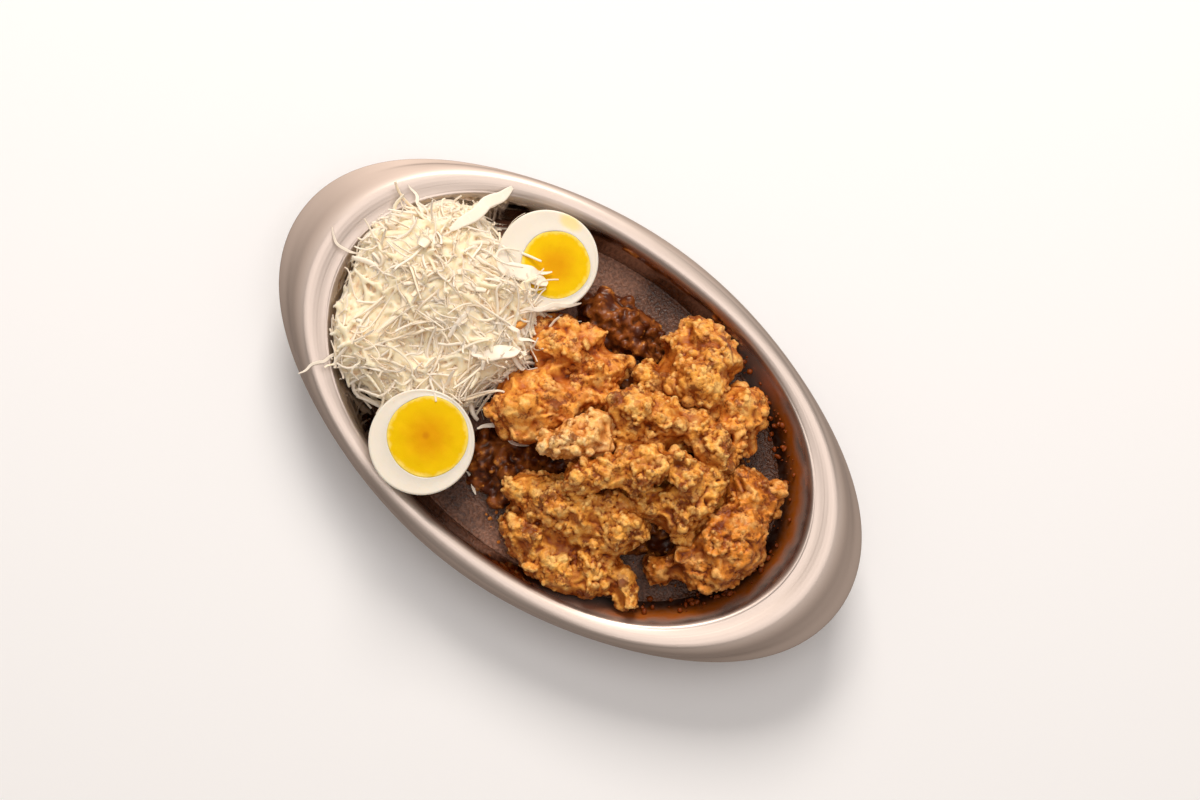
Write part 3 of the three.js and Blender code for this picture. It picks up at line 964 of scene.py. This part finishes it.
def white_material():
    """Smooth boiled white, which the light goes a little way into, with the smear of yolk."""
    material, tree, shader, place = new_material(
        "egg_white", Roughness=0.32,
        Subsurface_Weight=0.5, Subsurface_Scale=3 * MM, Subsurface_Radius=(1.0, 0.8, 0.6)
    )
    faint = grain(tree, place, 9 * MM, 3.0)
    smear = vector_calc(tree, "MULTIPLY", vector_calc(tree, "SUBTRACT", place, SMEAR), (1, 1.6, 1))
    smear = calc(tree, "MULTIPLY_ADD", faint, 6 * MM, length_of(tree, smear))
    smear = ramp(tree, smear, 5 * MM, 9.5 * MM, 0.8, 0.0)
    feed(tree, shader, Base_Color=layered(tree, "#e5ded0", (faint, "#ebe5da"), (smear, "#f6dc8c")))
    bump(tree, shader, grain(tree, place, 2.5 * MM, 3.0), 0.15 * MM, 0.4)
    return material


def yolk_material(name, middle, radius):
    """Firm yolk, orange in the middle, with a pale edge."""
    material, tree, shader, place = new_material(
        name, Roughness=0.5, Specular_IOR_Level=0.06,
        Subsurface_Weight=0.2, Subsurface_Scale=2 * MM, Subsurface_Radius=(1.0, 0.7, 0.1)
    )
    out = length_of(tree, vector_calc(tree, "SUBTRACT", place, middle))
    mottle = grain(tree, place, 3 * MM, 3.0)
    edge = calc(tree, "MULTIPLY_ADD", mottle, 0.25, calc(tree, "DIVIDE", out, radius))
    dark_spot = length_of(tree, vector_calc(tree, "SUBTRACT", place, YOLK_DARK_SPOT))
    base = layered(
        tree, "#dfa000",
        (ramp(tree, edge, 0.25, 0.95), "#ebc200"),
        (ramp(tree, edge, 1.0, 1.13), "#f8dc6a"),
        (ramp(tree, dark_spot, 0.5 * MM, 2.2 * MM, 0.6, 0.0), "#c97c08"),
    )
    feed(tree, shader, Base_Color=base)
    bump(tree, shader, grain(tree, place, 0.8 * MM, 3.0), 0.1 * MM, 0.6)
    return material


egg_white = white_material()
for side, (middle, radius, yolk, lean) in EGGS.items():
    white, yellow = egg_halves(side, middle, radius, yolk, lean)
    yolk_middle = (Vector(middle) + Vector((yolk[0], yolk[1], 0))) * MM
    white.data.materials.append(egg_white)
    yellow.data.materials.append(yolk_material("egg_yolk_" + side, yolk_middle, yolk[2] * MM))
    for piece, part in ((white, "egg_white"), (yellow, "egg_yolk")):
        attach(piece, "root")
        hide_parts("%s_%s" % (part, side))

# ---- The shredded cabbage ----
# A heap of raw cabbage cut into fine shreds, with a few broad pieces of leaf. The shreds lie over a
# core of packed cabbage that follows the heap, curl with the leaf's wave and stick out at the ends.

SHRED_POINTS = 32
RIPPLE_SIZE = 15 * MM
SHRED_LOWEST = SAUCE_LEVEL + 0.6 * MM
CORE_DEPTH = 0.5 * MM
CORE_VOXEL = 0.66 * MM


def along_strips(tree):
    """Each point's own strip, its share of the way along it, and how near it is to an end."""
    own = make(tree, "GeometryNodeCurveOfPoint").outputs["Curve Index"]
    along = make(tree, "GeometryNodeSplineParameter").outputs["Factor"]
    to_end = calc(tree, "ABSOLUTE", calc(tree, "MULTIPLY_ADD", along, 2, -1))
    return own, along, to_end


def sweep(tree, strips, width, height, corners, scale):
    """A flat profile with this many points, swept along the strips."""
    profile = {"Width": width, "Height": height}
    profile = take(tree, "GeometryNodeCurvePrimitiveQuadrilateral", profile)
    profile = take(tree, "GeometryNodeResampleCurve", {"Curve": profile, "Count": corners})
    return take(tree, "GeometryNodeCurveToMesh", {
        "Curve": strips, "Profile Curve": profile, "Scale": scale, "Fill Caps": True,
    })


def tilted(tree, strips, turn):
    """Strips turned about their own length."""
    return take(tree, "GeometryNodeSetCurveTilt", {"Curve": strips, "Tilt": turn})


def shreds_tree():
    """Strips laid over a core's upper side, waved, curled and twisted."""
    sizes = {
        "Density": 100000.0, "Length": 45 * MM, "Width": 1.2 * MM, "Thickness": 0.45 * MM,
        "Wave": 36 * MM, "Wave size": 22 * MM, "Curl": 12 * MM, "Curl size": 8 * MM,
        "Layer": 1.2 * MM, "Ripple": 1.2 * MM, "Lift": 3.5 * MM,
        "Twist": 0.7, "Seed": 1, "Material": "",
    }
    tree, given, end = new_tree("cabbage_shreds", sizes)
    core = given["Geometry"]
    normal, here = known(tree, "Normal"), known(tree, "Position")
    upper = take(tree, "FunctionNodeCompare", {0: split(tree, normal)["Z"], 1: -0.1})
    strewn = make(tree, "GeometryNodeDistributePointsOnFaces", {
        "Mesh": core, "Density": given["Density"], "Seed": given["Seed"], "Selection": upper,
    })
    line = make(tree, "GeometryNodeCurvePrimitiveLine", {"Start": (-0.5, 0, 0), "End": (0.5, 0, 0)})
    strip = make(tree, "GeometryNodeResampleCurve", {"Curve": result(line), "Count": SHRED_POINTS})
    spin = random_value(tree, (-0.2, -0.2, 0.0), (0.2, 0.2, math.tau), given["Seed"], 1)
    turned = turn_by(tree, strewn.outputs["Rotation"], spin)
    length = times(tree, random_value(tree, 0.4, 1.25, given["Seed"], 2), given["Length"])
    strips = put_on(tree, strewn.outputs["Points"], result(strip), turned, length)
    own, along, to_end = along_strips(tree)

    def own_random(low, high, salt):
        """A random value that is the same along one shred."""
        return random_value(tree, low, high, given["Seed"], salt, own)

    apart = own_random((0.0, 0.0, 0.0), (0.3, 0.3, 0.3), 3)
    spot = vector_calc(tree, "ADD", here, apart)
    wave = vector_calc(tree, "SCALE", drift(tree, spot, given["Wave size"], 1.0), given["Wave"])
    curl = vector_calc(tree, "SCALE", drift(tree, spot, given["Curl size"], 0.0), given["Curl"])
    waved = vector_calc(tree, "ADD", vector_calc(tree, "ADD", here, wave), curl)
    strips = set_place(tree, strips, waved)

    near = make(tree, "GeometryNodeProximity", {"Geometry": core, "Sample Position": here})
    outward = make(tree, "GeometryNodeSampleNearestSurface", {
        "Mesh": core, "Value": normal, "Sample Position": here,
    }, data_type="FLOAT_VECTOR")
    ripple = calc(tree, "SUBTRACT", cloud(tree, spot, RIPPLE_SIZE, 0.0).outputs[0], 0.5)
    ripple = times(tree, ripple, given["Ripple"])
    layer = times(tree, own_random(0.2, 1.0, 4), given["Layer"])
    lift = times(tree, own_random(-0.3, 1.0, 5), given["Lift"], calc(tree, "POWER", to_end, 3))
    height = calc(tree, "ADD", calc(tree, "ADD", layer, ripple), lift)
    hugging = vector_calc(tree, "SCALE", outward.outputs["Value"], height)
    hugging = vector_calc(tree, "ADD", near.outputs["Position"], hugging)
    loose = times(tree, calc(tree, "POWER", to_end, 2), own_random(0.0, 0.55, 10))
    inputs = {"Factor": loose, "A": hugging, "B": here}
    laid = take(tree, "ShaderNodeMix", inputs, data_type="VECTOR")
    strips = set_place(tree, strips, inside_dish(tree, laid, SHRED_LOWEST))
    strips = set_place(tree, strips, softened(tree, here, 3))

    turn = times(tree, along, own_random(-1.0, 1.0, 6), given["Twist"])
    strips = tilted(tree, strips, calc(tree, "ADD", turn, own_random(-0.3, 0.3, 7)))
    taper = calc(tree, "MULTIPLY_ADD", calc(tree, "POWER", to_end, 8), -0.3, 1)
    taper = times(tree, taper, own_random(0.6, 1.4, 8))
    strips = take(tree, "GeometryNodeSetCurveRadius", {"Curve": strips, "Radius": taper})
    strips = store(tree, strips, "leaf", own_random(0.0, 1.0, 9))
    swept = sweep(tree, strips, given["Width"], given["Thickness"], 6, known(tree, "Radius"))
    return finish_tree(tree, swept, given["Material"], end)


def cabbage_material(name, share, depth):
    """Pale leaf, with painted shade in the packed core's hollows. `share` is how much of the light goes
    in, and `depth` how far.
    """
    material, tree, shader, place = new_material(
        name, Roughness=0.45, Specular_IOR_Level=0.3,
        Subsurface_Weight=share, Subsurface_Scale=depth, Subsurface_Radius=(1.0, 0.96, 0.9)
    )
    leaf = read(tree, "leaf")
    base = layered(
        tree, "#fff4e3",
        (ramp(tree, leaf, 0.3, 1.0), "#ffefd4"),
        (ramp(tree, leaf, 0.0, 0.12, 0.7, 0.0), "#ffe6c0"),
        (ramp(tree, grain(tree, place, 2 * MM, 2.0), 0.5, 0.75, 0.0, 0.5), "#fffaf0"),
        # Painted shade in the hollows of the packed core.
        (ramp(tree, read(tree, "raised"), -0.3, -1.2, 0.0, 0.55), "#b89468"),
    )
    feed(tree, shader, Base_Color=base)
    return material


shred_leaf = cabbage_material("cabbage_shreds", share=0.3, depth=2 * MM)
packed_leaf = cabbage_material("cabbage_packed", share=0.8, depth=3 * MM)
packed = fused(voxel=1 * MM, swell=3 * MM, shrink=3 * MM + CORE_DEPTH, smoothing=25)
bed = grow("cabbage_bed", merged_copy("cabbage_heap"), packed, {})
shredding = [nodes(shreds_tree())]
SHREDS = {
    # piece: density, length, width, thickness, seed
    "cabbage_fine_shreds": (48000.0, 85 * MM, 0.95 * MM, 0.4 * MM, 4),
    "cabbage_broad_shreds": (8000.0, 70 * MM, 1.9 * MM, 0.35 * MM, 12),
    "cabbage_leaf_pieces": (2500.0, 30 * MM, 4.5 * MM, 0.4 * MM, 23),
}


def strays_tree():
    """Single shreds swept along drawn paths. A path's width is kept on its points."""
    sizes = {"Flatness": 0.1, "Wave": 4 * MM, "Seed": 1, "Material": ""}
    tree, given, end = new_tree("stray_shreds", sizes)
    lines = make(tree, "GeometryNodeMeshToCurve", {"Mesh": given["Geometry"]})
    curves = make(tree, "GeometryNodeCurveSplineType", {"Curve": result(lines)}, spline_type="CATMULL_ROM")
    strips = make(tree, "GeometryNodeResampleCurve", {"Curve": result(curves), "Count": 2 * SHRED_POINTS})
    level = vector_calc(tree, "MULTIPLY", drift(tree, known(tree, "Position"), 7 * MM, 0.0), (1, 1, 0.3))
    strips = set_offset(tree, result(strips), level, given["Wave"])
    own, along, to_end = along_strips(tree)
    turn = times(tree, along, random_value(tree, -0.8, 0.8, given["Seed"], 1, own))
    strips = tilted(tree, strips, turn)
    taper = calc(tree, "MULTIPLY_ADD", calc(tree, "POWER", to_end, 3), -0.7, 1)
    width = make(tree, "GeometryNodeInputNamedAttribute", {"Name": "width"}, data_type="FLOAT")
    scale = times(tree, taper, result(width))
    swept = sweep(tree, strips, 1.0, given["Flatness"], 16, scale)
    return finish_tree(tree, store(tree, swept, "leaf", 0.4), given["Material"], end)


# Shreds that lie apart from the heap: width, and the points passed (x, y, height), in millimetres.
# Those wider than 5 mm are pieces of leaf.
STRAYS = (
    (5.5, ((-84, 27, 50.5), (-80.5, 41, 46), (-76.4, 58.8, 38))),
    (1.4, ((-86, -32, 42), (-92, -42, 38), (-98.7, -56.7, 38.5))),
    (1.2, ((-108, -2, 43), (-117, -4.2, 41.5), (-124.7, 0.5, 40.5))),
    (1.5, ((-97, 24, 46), (-104, 30, 42), (-110.5, 33.6, 41))),
    (2.2, ((-27.5, -31, 36), (-20.1, -24.7, 33), (-14.7, -25.7, 31), (-11, -26.5, 30.5), (-5, -23, 31))),
    (1.5, ((-19.5, -47, 19.6), (-14, -48.6, 19.8), (-9.5, -51.4, 19.5))),
    (2.0, ((-56, 22, 50), (-48, 33, 47.4), (-40.5, 38.6, 46.7))),
    (1.8, ((-46, 8, 50), (-37.2, 11.5, 50.5), (-33.5, 9.5, 49.5), (-27.5, 12, 49.5))),
    (2.0, ((-42, 17.5, 50), (-32, 27.5, 48), (-23, 36, 43.5))),
    (6.5, ((-43, -5, 47.5), (-38, -1, 49.5), (-32, 6.5, 47.5))),
    (7.0, ((-60, 27, 50.5), (-50, 31.5, 48.4), (-39.5, 34, 47.2))),
)
stray_paths = bpy.data.meshes.new("stray_paths")
path_points, path_edges, path_widths = [], [], []
for width, passed in STRAYS:
    start = len(path_points)
    path_points += [Vector(point) * MM for point in passed]
    path_edges += [(start + i, start + i + 1) for i in range(len(passed) - 1)]
    path_widths += [width * MM] * len(passed)
stray_paths.from_pydata(path_points, path_edges, [])
stray_paths.attributes.new("width", "FLOAT", "POINT").data.foreach_set("value", path_widths)
straying = [nodes(strays_tree())]
strays = grow("cabbage_strays", stray_paths, straying, {"Material": shred_leaf, "Seed": 5})

# The core is the bed of the heap with flat ribbons melted into it, so that it is cabbage all through.
ribbon_sizes = {
    "Material": shred_leaf, "Density": 60000.0, "Length": 60 * MM, "Width": 1.5 * MM,
    "Thickness": 1.2 * MM, "Layer": 1 * MM, "Ripple": 0.8 * MM, "Lift": 0.4 * MM, "Seed": 17,
}
ribbons = grow("cabbage_ribbons", bed.data.copy(), shredding, ribbon_sizes)
work = bmesh.new()
work.from_mesh(bed.data)
work.from_mesh(ribbons.data)
melting = [*new_skin(CORE_VOXEL, smoothing=1), crusting]
core_sizes = {"Material": packed_leaf, "Pimple": 0.0}
core = grow("cabbage_core", mesh_of(work, "cabbage_melted"), melting, core_sizes)
bpy.data.objects.remove(ribbons)
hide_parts("cabbage_heap")
strewn_pieces = [core, strays]
for name, (density, length, width, thick, seed) in SHREDS.items():
    sizes = {
        "Material": shred_leaf, "Density": density, "Length": length, "Width": width,
        "Thickness": thick, "Seed": seed,
    }
    strewn_pieces.append(grow(name, bed.data.copy(), shredding, sizes))
bpy.data.objects.remove(bed)
for piece in strewn_pieces:
    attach(piece, "root")

# ---- The floor, the light and the camera ----
# A plain pale floor under soft studio light, seen almost from straight above. The strong lamp stands
# behind the dish to the left, a weak one hangs over it, and the weakest stands to the right.

FLOOR_SIZE = 3.0
STUDIO_GLOW = 0.35
floor_mesh = bpy.data.meshes.new("floor")
corners = [(x * FLOOR_SIZE, y * FLOOR_SIZE, 0) for x, y in ((-1, -1), (1, -1), (1, 1), (-1, 1))]
floor_mesh.from_pydata(corners, [], [(0, 1, 2, 3)])
floor = add_object("floor", floor_mesh)
floor_finish = new_material("floor", Roughness=0.9, Base_Color=colour("#f4f7fc"))[0]
floor_mesh.materials.append(floor_finish)

world = bpy.data.worlds.new("studio")
world.use_nodes = True
glow = world.node_tree.nodes["Background"].inputs
glow["Color"].default_value = colour("#f3e6da")
glow["Strength"].default_value = STUDIO_GLOW
bpy.context.scene.world = world


def soft_light(name, place, size, power, tint):
    """A square area light aimed at the dish."""
    light = bpy.data.lights.new(name, "AREA")
    light.size = size
    light.energy = power
    light.color = colour(tint)[:3]
    lamp = add_object(name, light)
    lamp.location = place
    lamp.rotation_mode = "QUATERNION"
    lamp.rotation_quaternion = (-Vector(place)).to_track_quat("-Z", "Y")


LIGHTS = {
    # name: place, size, power in watts, tint
    "key_light": ((-0.85, 1.15, 1.25), 0.8, 29, "#fff5ea"),
    "panel_light": ((0.0, 0.15, 1.6), 1.1, 8, "#fff8f2"),
    "fill_light": ((1.3, 0.5, 1.2), 1.2, 1.2, "#fff5ec"),
}
for name, (place, size, power, tint) in LIGHTS.items():
    soft_light(name, place, size, power, tint)

# The camera stands CAMERA_DISTANCE from its target at the rim's height and leans by LEAN towards the
# long side at -Y. The picture is turned against the dish by TURN.
CAMERA_DISTANCE = 840 * MM
CAMERA_TARGET = Vector((7.34, 10.33, 33)) * MM
LEAN = math.radians(7.0)
TURN = math.radians(37.134)
LENS = 60
SENSOR = 36
back = Vector((0, -math.sin(LEAN), math.cos(LEAN)))
right = Vector((math.cos(TURN), math.sin(TURN), 0))
right = (right - back * right.dot(back)).normalized()
up = back.cross(right)
camera_data = bpy.data.cameras.new("camera")
camera_data.lens = LENS
camera_data.sensor_width = SENSOR
camera_data.clip_start = 0.01
camera = add_object("camera", camera_data)
turned = [[right[i], up[i], back[i]] for i in range(3)]
camera.matrix_world = Matrix(turned).to_4x4()
camera.location = CAMERA_TARGET + back * CAMERA_DISTANCE
bpy.context.scene.camera = camera
bpy.context.scene.view_settings.view_transform = "Standard"
